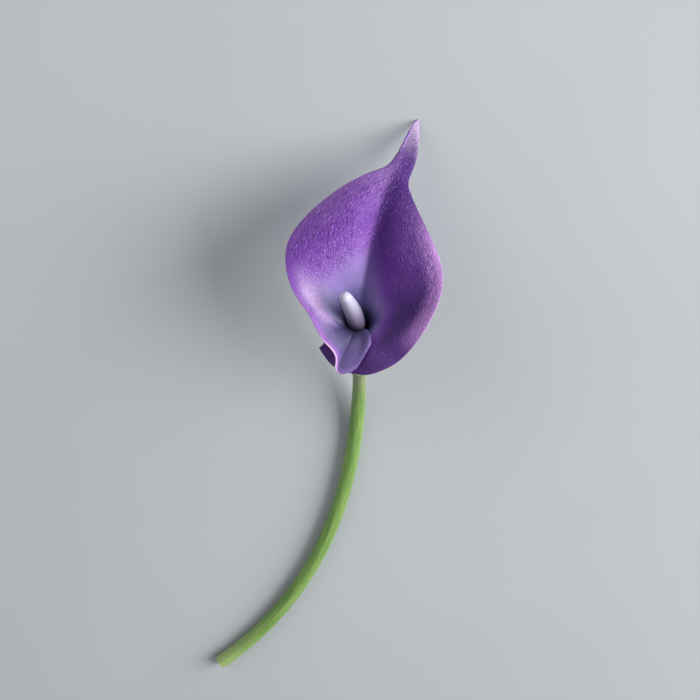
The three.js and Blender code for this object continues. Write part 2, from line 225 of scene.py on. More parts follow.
def ribAngles():
    # closer together at the tail, and very close at the two margins, where the sheet's edge is rounded
    fine = np.linspace(firstRib, lastRib, 8001)
    crowding = np.ones_like(fine)
    for middle, (more, width) in zip((0, firstRib, lastRib), spathe["crowding"]):
        crowding += more * bump(fine, middle, width)
    sums = np.concatenate([[0], np.cumsum((crowding[1:] + crowding[:-1]) / 2)])
    margin = np.array(spathe["marginTurns"])
    inner = np.interp(np.linspace(0, sums[-1], spathe["columns"] - len(margin)), sums, fine)
    return np.concatenate([firstRib + margin, inner[2:-2], (lastRib - margin)[::-1]])


def spreadRows(line, rows, endGaps=()):
    # points along one rib, evenly spaced, the last ones at the given distances from its end
    along = np.concatenate([[0], np.cumsum(np.linalg.norm(np.diff(line, axis=0), axis=1))])
    lead = endGaps[0] * spathe["edgeLead"] if endGaps else 0
    even = np.linspace(0, along[-1] - lead, rows + 1 - len(endGaps))
    stops = np.concatenate([even, [along[-1] - gap for gap in endGaps]])
    return np.stack([np.interp(stops, along, line[:, k]) for k in range(3)], 1), stops, along[-1]


def onlyActive(piece):
    bpy.ops.object.select_all(action="DESELECT")
    bpy.context.view_layer.objects.active = piece
    piece.select_set(True)


def layAttribute(piece, name, values, kind="FLOAT"):
    # a number, or a place, for every point of the mesh
    layer = piece.data.attributes.new(name, kind, "POINT")
    layer.data.foreach_set("value" if kind == "FLOAT" else "vector", values.ravel().astype(np.float32))


def unevenness(point, size, kind):
    seed = spathe["seeds"][kind]
    place = Vector(point) / size + Vector((seed, 2 * seed, 3 * seed))
    return noise.fractal(place, *spathe["noiseLayers"])


def buildSpathe():
    u = ribAngles()
    tube, limb, tail = (drawCurves(controls, spathe["ribSteps"]) for controls in ribControls(u))
    outward = np.concatenate([limb, tail[1:]])
    tubeRows, limbRows = spathe["tubeRows"], spathe["limbRows"]
    rows = tubeRows + limbRows + 1
    middle = np.zeros((len(u), rows, 3))
    fromThroat = np.zeros((len(u), rows))  # millimetres along the rib, below zero in the tube
    toRim = np.zeros((len(u), rows))
    limbLength = np.linalg.norm(np.diff(limb, axis=0), axis=2).sum(0)
    for i in range(len(u)):
        up, upStops, upLength = spreadRows(tube[:, i], tubeRows)
        out, outStops, outLength = spreadRows(outward[:, i], limbRows, spathe["edgeGaps"])
        middle[i] = np.concatenate([up, out[1:]])
        fromThroat[i] = np.concatenate([upStops - upLength, outStops[1:]])
        toRim[i] = np.concatenate([upLength - upStops + outLength, outLength - outStops[1:]])

    # the way out of the funnel, through the sheet
    along = np.gradient(middle, axis=1)
    across = np.gradient(middle, axis=0)
    normal = unit(np.cross(along, across))

    # distance to the nearest free edge: the rim, the two margins, or the foot
    steps = np.linalg.norm(np.diff(middle, axis=0), axis=2)
    fromFirst = np.concatenate([np.zeros((1, rows)), np.cumsum(steps, 0)])
    toLast = fromFirst[-1] - fromFirst
    toFoot = fromThroat - fromThroat[:, :1]
    toEdge = np.minimum.reduce([toRim, fromFirst, toLast])
    reach = np.clip(fromThroat / limbLength[:, None], -1, 1)

    # soft swells and creases in the limb, none in the throat and at the edge
    swellHeight, swellSize = spathe["swells"]
    wrinkleHeight, wrinkleSize = spathe["wrinkles"]
    wander, wanderSize = spathe["wrinkleWander"]
    way = math.radians(spathe["wrinkleTurn"])
    x, y, z = np.moveaxis(middle, -1, 0)
    grainWay = np.stack([x * math.cos(way) - y * math.sin(way),
                         (x * math.sin(way) + y * math.cos(way)) * spathe["wrinkleStretch"],
                         z * spathe["wrinkleDepth"]], -1)
    limbShare = (smooth(reach, *spathe["limbFrom"]) * smooth(toEdge, *spathe["edgeFade"])
                 * smooth(u, *spathe["leftFade"])[:, None])
    calmRight = smooth(u, *spathe["calmRightFrom"])[:, None] * smooth(toEdge, *spathe["calmInward"])
    calmUnder = smooth(u, *spathe["calmUnderFrom"])[:, None]
    calm = np.maximum(spathe["calmRight"] * calmRight, spathe["calmUnder"] * calmUnder)
    limbShare *= 1 - calm
    # where the folds run, kept as the mask of the painted shade laid along them
    creaseShade = np.zeros((len(u), rows))
    leastShare = 0.01  # less than this doesn't show
    for i, j in np.argwhere(limbShare > leastShare):
        p = middle[i, j]
        q = grainWay[i, j] + wander * unevenness(p, wanderSize, "wander")
        fold = 1 - 2 * min(abs(unevenness(q, wrinkleSize, "wrinkles")) * spathe["foldSteepness"], 1)
        creaseShade[i, j] = max(0, fold) * limbShare[i, j]
        lift = swellHeight * unevenness(p, swellSize, "swells") + wrinkleHeight * 0.5 * fold
        middle[i, j] += normal[i, j] * lift * limbShare[i, j]

    body = spathe["edgeThickness"] + (spathe["thickness"] - spathe["edgeThickness"]) * smooth(
        toEdge, 0, spathe["thinning"])
    rounding = np.sqrt(1 - np.maximum(0, 1 - np.minimum(toEdge, toFoot) / spathe["edgeRound"]) ** 2)
    half = (body * rounding / 2)[:, :, None]
    skins = np.concatenate([(middle + side * normal * half).reshape(-1, 3) for side in (1, -1)])

    count = len(u) * rows
    index = np.arange(count).reshape(len(u), rows)
    other = index + count
    for edge in (np.s_[0, :], np.s_[-1, :], np.s_[:, 0], np.s_[:, -1]):
        other[edge] = index[edge]  # the two skins meet in one line along every edge
    outside = np.stack([index[:-1, :-1], index[:-1, 1:], index[1:, 1:], index[1:, :-1]], -1).reshape(-1, 4)
    inside = np.stack([other[:-1, :-1], other[1:, :-1], other[1:, 1:], other[:-1, 1:]], -1).reshape(-1, 4)

    world = np.array([tuple(bloomMatrix @ Vector(p)) for p in skins]) * mm
    mesh = bpy.data.meshes.new("spatheSheet")
    mesh.from_pydata(world.tolist(), [], np.concatenate([inside, outside]).tolist())
    piece = bpy.data.objects.new("spatheSheet", mesh)
    bpy.context.collection.objects.link(piece)
    mesh.polygons.foreach_set("material_index", [0] * len(inside) + [1] * len(outside))
    mesh.polygons.foreach_set("use_smooth", [True] * len(mesh.polygons))

    # how far out the colours run on each rib, which paints light on the lit left and shade on the right,
    # and the pale line along the free edge, which is broad and strong only where it curls over beside the
    # tongue
    left, tongue, back, right = spathe["stretch"]
    stretch = (1 + left[0] * bump(u, *left[1:]) + tongue[0] * smooth(-u, *tongue[1:])
               + back[0] * bump(u, *back[1:]) - right[0] * smooth(u, *right[1:]))
    pigmentAndShade = np.where(reach > 0, reach / stretch[:, None], reach)
    curling = smooth(u, *spathe["lipFrom"]) * smooth(-u, *spathe["lipUntil"])
    lipWidth, lipShare = (least + more * curling
                          for least, more in (spathe["lipWidth"], spathe["lipShare"]))
    lip = lipShare[:, None] * smooth(-toEdge / lipWidth[:, None], *spathe["lipFade"])
    lip *= (smooth(u, *spathe["lipStart"]) * (1 - smooth(u, *spathe["lipEnd"])))[:, None]
    # the curled band beside the tongue, which takes a painted highlight on the inside
    curl = (smooth(u, *spathe["curlFrom"]) * smooth(-u, *spathe["curlUntil"]))[:, None]
    curl = curl * smooth(-toEdge, *spathe["curlWidth"])
    ribTurn = np.repeat(u[:, None], rows, 1)
    tailShare = np.clip((fromThroat - limbLength[:, None]) / spathe["tailLength"], 0, 1)
    for name, values in {"reach": reach, "pigmentAndShade": pigmentAndShade, "edgeGap": toEdge, "ribTurn": ribTurn,
                         "tailShare": tailShare, "fromFoot": toFoot, "creaseShade": creaseShade, "calm": calm,
                         "lip": lip, "curl": curl}.items():
        layAttribute(piece, name, np.tile(values.ravel(), 2))  # the same on both skins
    layAttribute(piece, "wrinklePlace", np.tile((grainWay * mm).reshape(-1, 3), (2, 1)), "FLOAT_VECTOR")
    planTurn, planReach = spathe["planSize"]
    plan = np.tile(np.stack([ribTurn / planTurn, fromThroat / planReach], -1).reshape(-1, 2), (2, 1))
    corners = np.zeros(len(mesh.loops), np.int32)
    mesh.loops.foreach_get("vertex_index", corners)
    layer = mesh.uv_layers.new(name="sheetPlan")
    layer.data.foreach_set("uv", plan[corners].ravel().astype(np.float32))

    # the merged edge leaves unused points behind
    onlyActive(piece)
    bpy.ops.object.mode_set(mode="EDIT")
    bpy.ops.mesh.select_all(action="SELECT")
    bpy.ops.mesh.delete_loose(use_verts=True, use_edges=True, use_faces=False)
    bpy.ops.object.mode_set(mode="OBJECT")
    return piece


spatheSheet = buildSpathe()
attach(spatheSheet, "root")
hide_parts("spathe")
print("spathe made:", len(spatheSheet.data.polygons), "faces")


leastBend = 1e-5  # radians; less than this is taken as straight


def sweepRing(name, sides, stations, shapeRing=None):
    # a round piece: a ring swept through stations of (centre, heading, radius) in metres, where each step
    # turns the ring about the arc's own centre
    bpy.ops.object.select_all(action="DESELECT")
    centre, heading, radius = stations[0]
    turn = heading.to_track_quat("Z", "Y").to_euler()
    bpy.ops.mesh.primitive_circle_add(vertices=sides, radius=radius, fill_type="NGON", location=centre,
                                      rotation=turn)
    piece = bpy.context.object
    piece.name = name
    bpy.ops.object.transform_apply(location=True, rotation=True, scale=True)
    bpy.ops.object.mode_set(mode="EDIT")
    bpy.ops.mesh.select_all(action="SELECT")
    if shapeRing:
        shapeRing(piece)
    for nextCentre, nextHeading, nextRadius in stations[1:]:
        bend = heading.angle(nextHeading)
        if bend > leastBend:
            axis = heading.cross(nextHeading).normalized()
            chord = nextCentre - centre
            toward = axis.cross(heading).normalized()
            pivot = centre + toward * (chord.length / 2 / math.sin(bend / 2))
            bpy.ops.mesh.spin(steps=1, angle=-bend, center=pivot, axis=axis)
            landed = pivot + Matrix.Rotation(bend, 3, axis) @ (centre - pivot)
            bpy.ops.transform.translate(value=nextCentre - landed)
        else:
            bpy.ops.mesh.extrude_region_move(TRANSFORM_OT_translate={"value": nextCentre - centre})
        scale = nextRadius / radius
        bpy.ops.transform.resize(value=(scale, scale, scale), center_override=nextCentre)
        centre, heading, radius = nextCentre, nextHeading, nextRadius
    bpy.ops.mesh.select_all(action="SELECT")
    bpy.ops.mesh.normals_make_consistent(inside=False)
    bpy.ops.object.mode_set(mode="OBJECT")
    return piece


def applyModifier(piece, kind, **settings):
    onlyActive(piece)
    modifier = piece.modifiers.new(kind.lower(), kind)
    for key, value in settings.items():
        setattr(modifier, key, value)
    bpy.ops.object.modifier_apply(modifier=modifier.name)


# the spadix, in millimetres in the bloom's own frame
spadix = {
    "line": [(0, 0, -38), (-0.3, 0, -18), (-1.6, -0.4, 0.6), (-5.1, -5.6, 27.2)],
    "footRadius": 1.5, "radius": 3.85, "tipRadius": 2.3, "swell": 42.0, "tipEase": 1.8,
    "sides": 24, "rings": 26, "tipTurns": (18, 36, 52, 66, 78),
    "floretSize": 0.62, "floretHeight": 0.1,
}


def buildSpadix():
    points = [Vector(p) for p in spadix["line"]]
    lengths = [0.0]
    for before, after in zip(points, points[1:]):
        lengths.append(lengths[-1] + (after - before).length)
    line = splineThrough([(s, *p) for s, p in zip(lengths, points)])
    length, tip = lengths[-1], spadix["tipRadius"]
    dome = length - tip
    spots = [dome * i / spadix["rings"] for i in range(spadix["rings"] + 1)]
    spots += [dome + tip * math.sin(math.radians(turn)) for turn in spadix["tipTurns"]]
    stations = []
    for s in spots:
        wide = float(smooth(s, 0, spadix["swell"]))
        thin = min(max((s - spadix["swell"]) / (length - spadix["swell"]), 0), 1) ** spadix["tipEase"]
        radius = (spadix["footRadius"] + (spadix["radius"] - spadix["footRadius"]) * wide
                  + (tip - spadix["radius"]) * thin)
        radius *= math.sqrt(1 - max(0, (s - dome) / tip) ** 2)
        centre = (bloomMatrix @ Vector(line(s)[0])) * mm
        heading = (bloomMatrix.to_3x3() @ Vector(line(s, True)[0])).normalized()
        stations.append((centre, heading, (radius - spadix["floretHeight"]) * mm))
    piece = sweepRing("spadixFinger", spadix["sides"], stations)
    applyModifier(piece, "SUBSURF", levels=3, render_levels=3)
    florets = bpy.data.textures.new("florets", "VORONOI")
    florets.noise_scale = spadix["floretSize"] * mm
    applyModifier(piece, "DISPLACE", texture=florets, texture_coords="LOCAL", mid_level=0.5,
                  strength=-spadix["floretHeight"] * mm)
    onlyActive(piece)
    bpy.ops.object.shade_smooth()
    return piece


spadixFinger = buildSpadix()
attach(spadixFinger, "root")
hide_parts("spadix")
print("spadix made:", len(spadixFinger.data.polygons), "faces")


# the stalk, in millimetres and degrees
stalk = {
    "radius": 3.46, "neckRadius": 2.95, "length": 208.0, "sweep": 52.0, "sweepEase": 1.3,
    "restHeight": 3.6 * math.cos(math.pi / 12),  # half as high as the solid's twelve-sided stalk
    "sides": 36, "rings": 66, "groove": 0.985,
    # the seat, how far its two top rings come up, and how it is fitted round the sheet's foot
    "seatRadius": 4.15, "seatLength": 10.0, "seatGap": 0.3, "seatStops": (0, 0.7, 1.6, 3, 4.6, 6.6),
    "seatRise": (0.62, 0.5), "fitLength": 5.0, "seamCover": 40.0, "seatMargin": 0.03,
    # the cut, then the width and depth of its rind, the rind's inner edge and the pith
    "cutSlant": 24.0, "cutBack": 2.6, "cutRings": ((0.4, 0), (0.25, -0.18), (0.9, 0.08)),
    "sharpAngle": 40.0, "grainStretch": 0.05,
}


def stalkStations():
    pitchAtTop = math.radians(90 - bloomPlace["backPitch"])
    centre = bloomMatrix @ Vector((0, 0, -spathe["tubeLength"] - stalk["seatGap"]))
    seat, length = stalk["seatLength"], stalk["length"]
    drop = centre.z - stalk["restHeight"] - seat * math.sin(pitchAtTop)
    levelling = drop * pitchAtTop / (1 - math.cos(pitchAtTop))

    def headingAt(s):
        pitch = pitchAtTop * (1 - min(max((s - seat) / levelling, 0), 1))
        yaw = math.radians(stalk["sweep"]) * max(0, (s - seat) / (length - seat)) ** stalk["sweepEase"]
        return Vector((-math.sin(yaw) * math.cos(pitch), -math.cos(yaw) * math.cos(pitch),
                       -math.sin(pitch)))

    def radiusAt(s):
        swell = (stalk["seatRadius"] - stalk["neckRadius"]) * max(0, 1 - s / seat) ** 2
        full = (stalk["radius"] - stalk["neckRadius"]) * float(smooth(s, 0, seat + levelling))
        return stalk["neckRadius"] + swell + full

    spots = [*stalk["seatStops"], seat]
    spots += [seat + (length - seat) * (i + 1) / stalk["rings"] for i in range(stalk["rings"])]
    stations, s, stride = [], 0.0, 0.1
    for spot in spots:
        while s < spot - stride / 2:
            centre = centre + headingAt(s + stride / 2) * stride
            s += stride
        stations.append((centre * mm, headingAt(s), radiusAt(s) * mm))
    # the seat comes up over the rounded foot of the sheet, with a second ring close under its rim
    centre, heading, radius = stations[0]
    stations[:1] = [(centre - heading * rise * mm, heading, radius) for rise in stalk["seatRise"]]
    return stations


def fitSeat(piece):
    # the top of the seat takes the rolled outline of the sheet's foot
    toBloom = bloomMatrix.inverted()
    seam = lastRib - 360

    def footAt(turn):
        roll = (turn - firstRib) / (lastRib - firstRib) - 0.5
        return spathe["footRadius"] + spathe["footRoll"] * roll + spathe["thickness"] / 2

    for corner in piece.data.vertices:
        p = toBloom @ (corner.co / mm)
        share = 1 - float(smooth(-spathe["tubeLength"] - p.z, 0, stalk["fitLength"]))
        if share > 0:
            turn = (math.degrees(math.atan2(p.x, p.y)) - seam) % 360 + seam
            cover = 1 - float(smooth(turn, seam, seam + stalk["seamCover"]))
            outline = footAt(turn) + (footAt(lastRib) - footAt(turn)) * cover
            scale = 1 + ((outline + stalk["seatMargin"]) / stalk["seatRadius"] - 1) * share
            corner.co = (bloomMatrix @ Vector((p.x * scale, p.y * scale, p.z))) * mm


def buildStalk():
    stations = stalkStations()

    def grooved(piece):
        # every third point of the ring is drawn in, so that fine ribs run the whole way down
        ring = bmesh.from_edit_mesh(piece.data)
        ring.verts.ensure_lookup_table()
        for k, corner in enumerate(ring.verts):
            corner.select_set(k % 3 == 0)
        ring.select_flush_mode()
        bmesh.update_edit_mesh(piece.data)
        scale = stalk["groove"]
        bpy.ops.transform.resize(value=(scale, scale, scale), center_override=stations[0][0])
        bpy.ops.mesh.select_all(action="SELECT")

    piece = sweepRing("stalkGreen", stalk["sides"], stations, grooved)
    applyModifier(piece, "SUBSURF", levels=1, render_levels=1)
    fitSeat(piece)

    # the slanting cut, with its rind and its sunken pith
    onlyActive(piece)
    bpy.ops.object.mode_set(mode="EDIT")
    bpy.ops.mesh.select_all(action="SELECT")
    endCentre, endHeading = stations[-1][:2]
    side = endHeading.cross(Vector((0, 0, 1))).normalized()
    slant = Matrix.Rotation(math.radians(stalk["cutSlant"]), 3, side) @ endHeading
    bpy.ops.mesh.bisect(plane_co=endCentre - endHeading * stalk["cutBack"] * mm, plane_no=slant,
                        use_fill=True, clear_outer=True, clear_inner=False)
    bpy.ops.object.mode_set(mode="OBJECT")
    piece.data.materials.clear()
    for slotName in ("stalkSkin", "stalkPith"):
        piece.data.materials.append(bpy.data.materials.new(slotName))
    cutFace = max(piece.data.polygons, key=lambda face: (len(face.vertices), face.normal.dot(slant)))
    for part in (piece.data.polygons, piece.data.edges, piece.data.vertices):
        for item in part:
            item.select = False
    cutFace.select = True
    cutFace.material_index = 1
    bpy.ops.object.mode_set(mode="EDIT")
    bpy.ops.mesh.select_mode(type="FACE")
    for width, depth in stalk["cutRings"]:
        bpy.ops.mesh.inset(thickness=width * mm, depth=depth * mm)
    bpy.ops.mesh.poke()
    bpy.ops.object.mode_set(mode="OBJECT")
    bpy.ops.object.shade_smooth_by_angle(angle=math.radians(stalk["sharpAngle"]))
    return piece


def layGrain(piece, stations):
    # where each point lies round the stalk and along it, the way along drawn out, so that streaks run down
    points = np.array([tuple(corner.co) for corner in piece.data.vertices])
    centres = np.array([tuple(station[0]) for station in stations])
    along = np.concatenate([[0], np.cumsum(np.linalg.norm(np.diff(centres, axis=0), axis=1))])
    nearest = np.array([np.argmin(np.linalg.norm(centres - p, axis=1)) for p in points])
    heading = np.array([tuple(station[1]) for station in stations])[nearest]
    side = unit(np.cross(heading, (0, 0, 1)))
    offset = points - centres[nearest]
    down = along[nearest] + (offset * heading).sum(1)
    grain = np.stack([(offset * side).sum(1), (offset * np.cross(side, heading)).sum(1),
                      down * stalk["grainStretch"]], 1)
    layAttribute(piece, "grainPlace", grain, "FLOAT_VECTOR")
    layAttribute(piece, "fromSeat", down)


stalkGreen = buildStalk()
layGrain(stalkGreen, stalkStations())
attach(stalkGreen, "root")
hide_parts("stem")
print("stalk made:", len(stalkGreen.data.polygons), "faces")


class Nodes:
    # short names for laying out one node tree
    def __init__(self, tree):
        self.tree = tree
        tree.nodes.clear()

    def add(self, kind, inputs=None, **settings):
        node = self.tree.nodes.new(kind)
        for key, value in settings.items():
            setattr(node, key, value)
        for key, value in (inputs or {}).items():
            self.give(node.inputs[key], value)
        return node

    def give(self, socket, value):
        if isinstance(value, bpy.types.NodeSocket):
            self.tree.links.new(value, socket)
        else:
            socket.default_value = value

    def math(self, operation, first, second):
        return self.add("ShaderNodeMath", {0: first, 1: second}, operation=operation).outputs[0]

    def opposite(self, share):
        return self.math("SUBTRACT", 1.0, share)

    def times(self, first, *others):
        for other in others:
            first = self.math("MULTIPLY", first, other)
        return first

    def span(self, value, low, high, toLow=0.0, toHigh=1.0):
        return self.add("ShaderNodeMapRange", {"Value": value, "From Min": low, "From Max": high,
                                               "To Min": toLow, "To Max": toHigh},
                        interpolation_type="SMOOTHSTEP").outputs["Result"]

    def ramp(self, value, stops):
        node = self.add("ShaderNodeValToRGB", {"Fac": value})
        ends = node.color_ramp.elements
        while len(ends) < len(stops):
            ends.new(0.5)
        for element, (place, colour) in zip(ends, stops):
            element.position = place
            element.color = colour
        return node.outputs["Color"]

    def mix(self, share, first, second):
        return self.add("ShaderNodeMix", {0: share, 6: first, 7: second}, data_type="RGBA").outputs[2]

    def attribute(self, name, output="Fac"):
        node = self.add("ShaderNodeAttribute", attribute_name=name, attribute_type="GEOMETRY")
        return node.outputs[output]

    def objectPlace(self):
        return self.add("ShaderNodeTexCoord").outputs["Object"]


# the pattern of the skin; a cloud's numbers are its fineness against the ridges, its detail and roughness
skinPattern = {
    "drift": (0.45, 2.0, 0.5), "driftReach": 2.2, "ridgeWidth": 0.42,
    "lumps": (0.8, 4.0, 0.6), "lumpShare": 0.9, "fineGrain": (5.5, 3.0, 0.65),
    "mottle": (0.16, 5.0, 0.6), "mottleSpan": (0.3, 0.7),
}


def plantSkinGroup():
    # puckered skin: a net of small ridges with a fine grain over it, and a soft mottle for the colour
    group = bpy.data.node_groups.new("plantSkin", "ShaderNodeTree")
    sockets = {"INPUT": ("Place", "Ridge Size", "Ridges", "Grain"),
               "OUTPUT": ("Height", "Mottle", "Ridge Mask")}
    for way, names in sockets.items():
        for name in names:
            kind = "NodeSocketVector" if name == "Place" else "NodeSocketFloat"
            group.interface.new_socket(name, in_out=way, socket_type=kind)
    n = Nodes(group)
    given = n.add("NodeGroupInput").outputs
    scale = n.math("DIVIDE", 1.0, given["Ridge Size"])

    def cloud(kind, output="Fac"):
        fineness, detail, roughness = skinPattern[kind]
        return n.add("ShaderNodeTexNoise", {"Vector": given["Place"], "Scale": n.times(scale, fineness),
                                            "Detail": detail, "Roughness": roughness}).outputs[output]

    # the net's cells are bent by a slow cloud, so that they don't look cut
    drift = n.add("ShaderNodeVectorMath", {0: cloud("drift", "Color"), 1: (0.5, 0.5, 0.5)},
                  operation="SUBTRACT")
    driftReach = n.times(given["Ridge Size"], skinPattern["driftReach"])
    bend = n.add("ShaderNodeVectorMath", {0: drift.outputs[0], "Scale": driftReach}, operation="SCALE")
    place = n.add("ShaderNodeVectorMath", {0: given["Place"], 1: bend.outputs[0]}, operation="ADD")
    net = n.add("ShaderNodeTexVoronoi", {"Vector": place.outputs[0], "Scale": scale, "Randomness": 1.0},
                feature="DISTANCE_TO_EDGE")
    ridge = n.span(net.outputs["Distance"], 0.0, skinPattern["ridgeWidth"])
    lumps = n.times(cloud("lumps"), skinPattern["lumpShare"])
    height = n.times(n.math("ADD", ridge, lumps), given["Ridges"])
    height = n.math("ADD", height, n.times(cloud("fineGrain"), given["Grain"]))
    n.add("NodeGroupOutput", {"Height": height, "Mottle": cloud("mottle"), "Ridge Mask": ridge})
    return group


plantSkin = plantSkinGroup()


def startMaterial(material, plain):
    material.use_nodes = True
    n = Nodes(material.node_tree)
    shader = n.add("ShaderNodeBsdfPrincipled", plain)
    n.add("ShaderNodeOutputMaterial", {"Surface": shader.outputs["BSDF"]})
    return n, shader


def skin(n, place, ridgeSize, ridges, grain):
    return n.add("ShaderNodeGroup", {"Place": place, "Ridge Size": ridgeSize, "Ridges": ridges,
                                     "Grain": grain}, node_tree=plantSkin).outputs


def mottled(n, puckers, low, high):
    return n.span(puckers["Mottle"], *skinPattern["mottleSpan"], low, high)


def wandering(n, value, puckers, amount):
    # the value moved a little by the mottle, so that colours don't change along a straight line
    return n.math("ADD", value, n.times(n.math("SUBTRACT", puckers["Mottle"], 0.5), amount))


def dress(n, shader, finish, colour, height, roughness=None):
    relief = n.add("ShaderNodeBump", {"Height": height, "Strength": finish["strength"],
                                      "Distance": finish["relief"]})
    n.give(shader.inputs["Base Color"], colour)
    n.give(shader.inputs["Normal"], relief.outputs["Normal"])
    if roughness is not None:
        n.give(shader.inputs["Roughness"], roughness)


# a patch's bands are spans of turn (degrees round the bloom), reach (share of the way out from the throat)
# and edge (millimetres from the free edge); a band with four numbers also says what it runs from and to
insideFinish = {
    "shader": {"Subsurface Weight": 0.1, "Subsurface Scale": 0.001, "Subsurface Radius": (1.0, 0.5, 1.0),
               "IOR": 1.45, "Specular IOR Level": 0.27},
    # the colours from the throat out to the rim, lavender-blue fading to purple; the dark slate at the
    # throat is painted shade deep in the funnel
    "out": [(0.0, srgb(56, 56, 90)), (0.1, srgb(88, 84, 132)), (0.2, srgb(122, 108, 160)),
            (0.33, srgb(138, 112, 174)), (0.46, srgb(134, 86, 172)), (0.6, srgb(118, 64, 160)),
            (0.76, srgb(125, 78, 160)), (1.0, srgb(156, 122, 180))],
    "wander": 0.16,
    "patches": [
        # the pale left side: the throat's lavender, brightened with painted light where the wall faces the
        # lamp
        {"colour": srgb(204, 174, 218), "share": 0.85,
         "bands": [("turn", -74.0, -112.0), ("turn", -164.0, -130.0), ("reach", 0.24, 0.6),
                   ("edge", 1.5, 7.5)]},
        # painted shade on the right wall, which faces away from the lamp, more purple outwards
        {"near": srgb(64, 38, 106), "colour": srgb(60, 7, 100), "from": (0.28, 0.66), "share": 1.0,
         "bands": [("turn", -11.0, 3.0), ("reach", 0.0, 0.4), ("reach", 0.3, 0.62, 0.72, 0.88),
                   ("turn", 112.0, 150.0, 1.0, 0.94)]},
        # a painted shade line along the valley, where the lit side meets the shaded side
        {"colour": srgb(52, 16, 96), "share": 0.5,
         "bands": [("turn", -7.0, -1.0), ("turn", 12.0, 3.0), ("reach", 0.56, 0.78), ("reach", 1.0, 0.9)]},
        # the darkest painted shade, on the lower right wall
        {"colour": srgb(28, 0, 54), "share": 0.6,
         "bands": [("turn", 52.0, 84.0), ("turn", 152.0, 116.0), ("reach", 0.3, 0.5), ("edge", 3.0, 11.0)]},
        # the slate tongue: the throat's lavender painted in shade, darkest near the throat
        {"near": srgb(50, 48, 78), "colour": srgb(93, 81, 126), "from": (0.1, 0.5), "share": 0.92,
         "bands": [("turn", -120.0, -160.0), ("edge", 0.3, 3.6, 0.5, 1.0)]},
        # painted light left of the throat, against the spadix's shadow, and painted shade between it and
        # the tongue
        {"colour": srgb(166, 158, 202), "share": 0.75,
         "bands": [("turn", -68.0, -98.0), ("turn", -136.0, -118.0), ("reach", -0.05, 0.12),
                   ("reach", 0.62, 0.4)]},
        {"colour": srgb(46, 45, 78), "share": 0.7,
         "bands": [("turn", -136.0, -156.0), ("turn", -200.0, -182.0), ("reach", 0.86, 0.5)]},
        # a painted highlight on the right rim, where it curls out towards the lamp
        {"colour": srgb(200, 146, 210), "share": 0.72,
         "bands": [("turn", 16.0, 50.0), ("turn", 122.0, 96.0), ("edge", 9.5, 0.0)]},
    ],
    # the curl beside the tongue: the rim's magenta with a painted highlight along the turn
    "curl": srgb(150, 92, 178), "curlShare": 0.75, "lip": srgb(204, 172, 204),
    "tail": srgb(222, 198, 232), "tailFade": (0.2, 1.0, 0.0, 0.88),
    "limb": (0.3, 0.62), "ridgedOut": (0.26, 0.6), "ridgedFrom": (-112.0, -60.0),
    "ridgedInward": (0.2, 2.0),
    # painted shade in the grooves of the net and along the folds
    "creaseShade": srgb(52, 16, 96), "netShadeShare": 0.3, "foldShadeShare": 0.7,
    # a painted highlight on some crests, strongest towards the lit left lobe
    "crestHighlight": srgb(186, 144, 214), "crestOnRidge": (0.5, 1.0), "crestOnMottle": (0.4, 0.64),
    "crestShare": (10.0, -12.0, 0.08, 0.3),  # from the right wall to the left lobe
    "ridgeSize": 1.05 * mm, "plainRidges": 0.04, "grain": 0.1, "relief": 0.26 * mm, "strength": 1.0,
    "roughness": (0.39, 0.53),
}


def finishInside(material):
    f = insideFinish
    n, shader = startMaterial(material, f["shader"])
    along = {"reach": n.attribute("reach"), "turn": n.attribute("ribTurn"), "edge": n.attribute("edgeGap")}
    away = n.times(n.span(along["reach"], *f["ridgedOut"]), n.span(along["turn"], *f["ridgedFrom"]))
    ridged = n.times(away, n.span(along["edge"], *f["ridgedInward"]), n.opposite(n.attribute("calm")))
    puckers = skin(n, n.attribute("wrinklePlace", "Vector"), f["ridgeSize"],
                   n.math("ADD", ridged, f["plainRidges"]), f["grain"])
    colour = n.ramp(wandering(n, n.attribute("pigmentAndShade"), puckers, f["wander"]), f["out"])
    # the patches, most of them painted light and painted shade, laid over the ramp's colours
    for patch in f["patches"]:
        tint = patch["colour"]
        if "near" in patch:
            tint = n.mix(n.span(along["reach"], *patch["from"]), patch["near"], tint)
        bands = [n.span(along[name], *band) for name, *band in patch["bands"]]
        colour = n.mix(n.times(*bands, patch["share"]), colour, tint)
    # the curl's magenta, with a painted highlight along the turn
    colour = n.mix(n.times(n.attribute("curl"), f["curlShare"]), colour, f["curl"])
    colour = n.mix(n.span(n.attribute("tailShare"), *f["tailFade"]), colour, f["tail"])
    # painted shade in the grooves of the net and along the folds, painted highlight on some of the crests
    onRidge = puckers["Ridge Mask"]
    net = n.times(n.opposite(onRidge), n.span(along["reach"], *f["limb"]), f["netShadeShare"])
    foldShade = n.times(n.attribute("creaseShade"), f["foldShadeShare"])
    colour = n.mix(n.math("MAXIMUM", net, foldShade), colour, f["creaseShade"])
    crestHighlights = n.times(n.span(onRidge, *f["crestOnRidge"]), n.span(puckers["Mottle"], *f["crestOnMottle"]),
                     away, n.span(along["turn"], *f["crestShare"]))
    colour = n.mix(crestHighlights, colour, f["crestHighlight"])
    colour = n.mix(n.attribute("lip"), colour, f["lip"])
    dress(n, shader, f, colour, puckers["Height"], mottled(n, puckers, *f["roughness"]))


